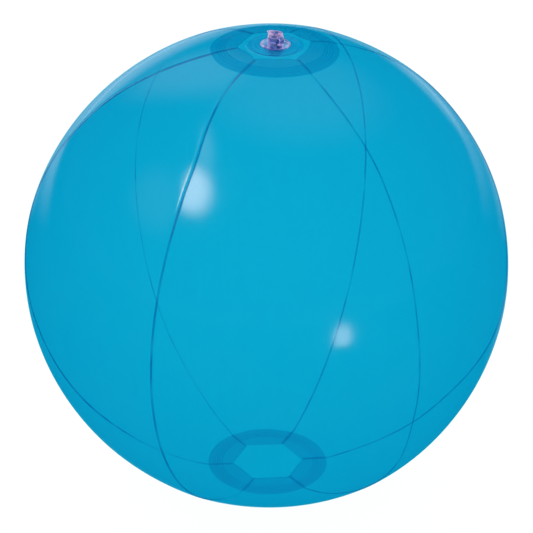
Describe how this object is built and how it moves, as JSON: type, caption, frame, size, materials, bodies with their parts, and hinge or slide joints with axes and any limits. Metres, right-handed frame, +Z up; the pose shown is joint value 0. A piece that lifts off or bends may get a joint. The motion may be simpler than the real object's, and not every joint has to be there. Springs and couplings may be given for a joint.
{
  "type": "inflatable beach ball",
  "caption": "Round inflated ball of welded translucent film panels with a disc over each pole and a push-in valve with a tethered plug.",
  "frame": {"origin": "centre of the flat bottom disc's underside, on the ball's axis", "axes": "+Z up along the ball's axis, from the bottom disc to the valve; the panel seams start 115 degrees clockwise from +X, seen from above"},
  "size_m": [0.2586, 0.2586, 0.2602],
  "materials": {
    "film": "glossy translucent turquoise PVC film",
    "valve_pvc": "glossy clear soft PVC moulding"
  },
  "bodies": {
    "ball": {"panel_1": "film", "panel_2": "film", "panel_3": "film", "panel_4": "film", "panel_5": "film", "panel_6": "film", "top_disc": "film", "bottom_disc": "film", "valve_flange": "valve_pvc", "valve_diaphragm": "valve_pvc"},
    "stem": {"valve_stem": "valve_pvc", "plug_strap": "valve_pvc"},
    "plug": {"valve_plug": "valve_pvc"},
    "flap": {"check_flap": "valve_pvc"}
  },
  "joints": [
    {"name": "valve_push", "type": "slide", "parent": "ball", "child": "stem", "axis": [0, 0, -1], "range_m": [0, 0.005], "deforming": ["valve_diaphragm"]},
    {"name": "plug_swing", "type": "hinge", "parent": "stem", "child": "plug", "pos_m": [0.00332, -0.00512, 0.25752], "axis": [0.8387, 0.5446, 0], "range_deg": [0, 100], "deforming": ["plug_strap"]},
    {"name": "flap_open", "type": "hinge", "parent": "stem", "child": "flap", "pos_m": [-0.00212, 0.00327, 0.24997], "axis": [0.8387, 0.5446, 0], "range_deg": [0, 60], "stiffness_Nm_per_rad": 0.00005}
  ]
}
